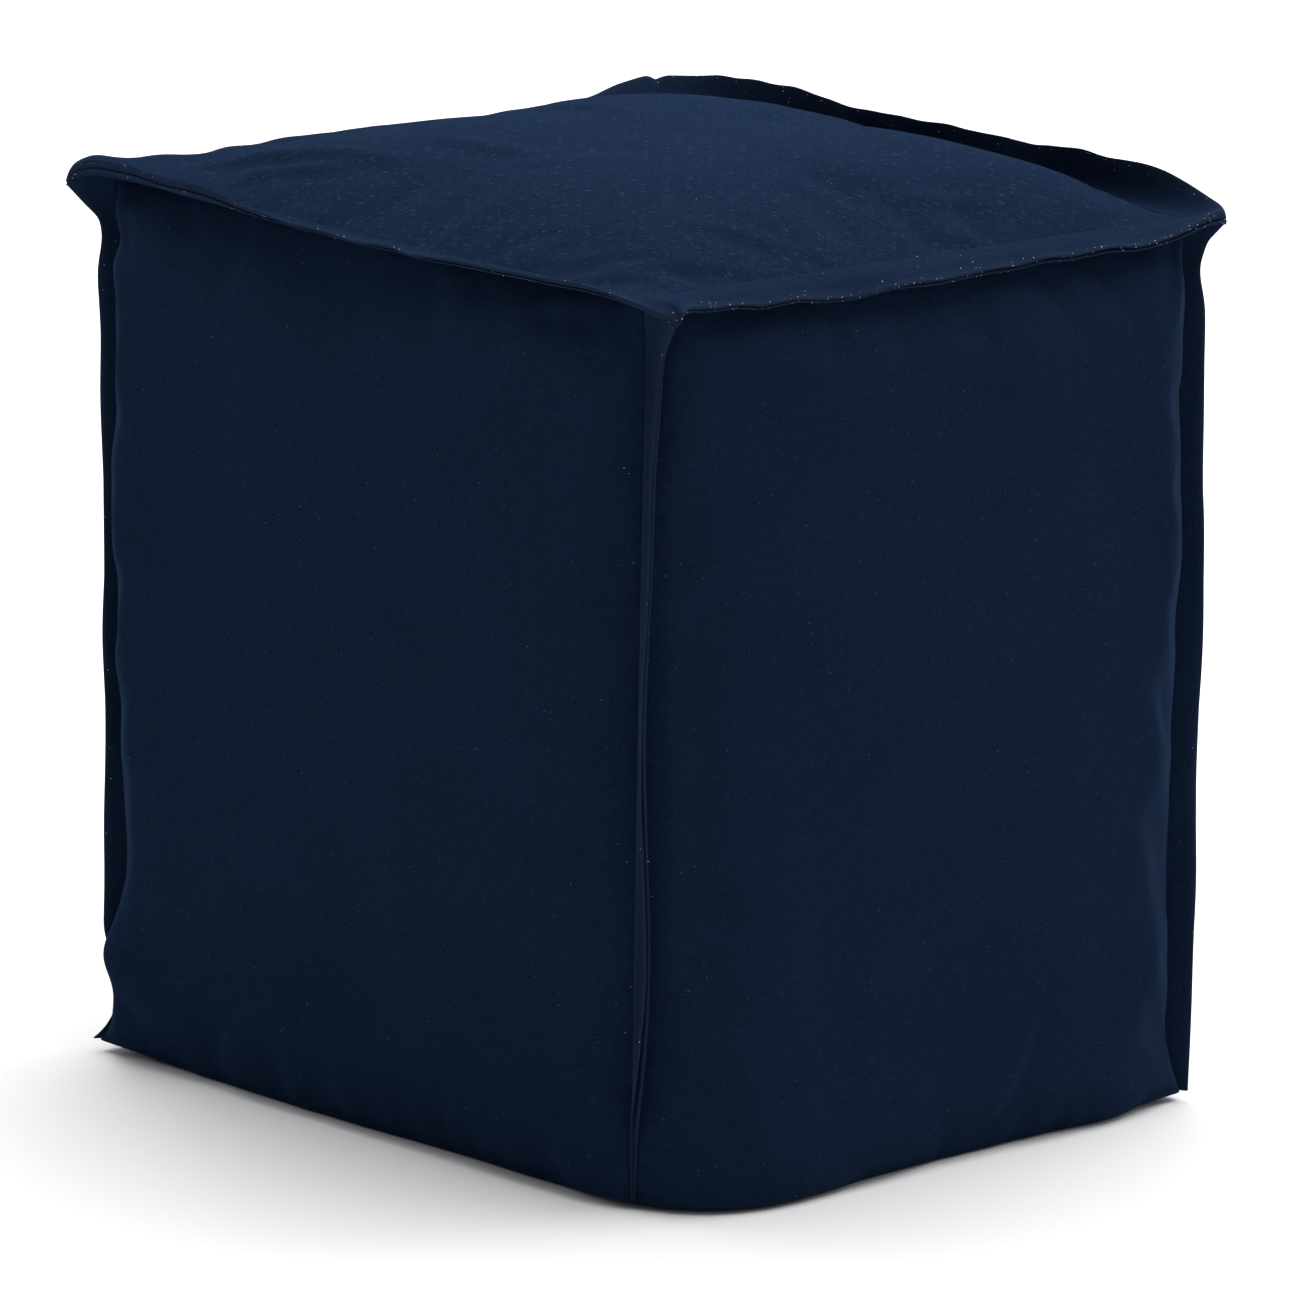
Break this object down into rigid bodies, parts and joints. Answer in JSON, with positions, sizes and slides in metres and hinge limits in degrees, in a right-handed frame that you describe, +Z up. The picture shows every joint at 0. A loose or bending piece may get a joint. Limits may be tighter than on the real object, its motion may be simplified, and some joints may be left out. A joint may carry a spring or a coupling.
{
  "type": "garden pouf",
  "caption": "Tall square pouf in navy woven cloth with a crowned top, rounded foot and raised flanges along its top and corner seams.",
  "frame": {"origin": "centre of the bounding box on the plane of the floor that the base rests on", "axes": "+Z up from the floor to the crowned top; -Y out of the front side; +X out of the right side, seen from the front"},
  "size_m": [0.412, 0.3976, 0.4578],
  "materials": {
    "cloth": "matt navy plain weave with slubs",
    "flange_cloth": "matt navy plain weave, doubled and turned in at its edges"
  },
  "bodies": {
    "root": {"body": "cloth", "top_flange": "flange_cloth", "flange_front_left": "flange_cloth", "flange_front_right": "flange_cloth", "flange_back_right": "flange_cloth", "flange_back_left": "flange_cloth"}
  },
  "joints": []
}
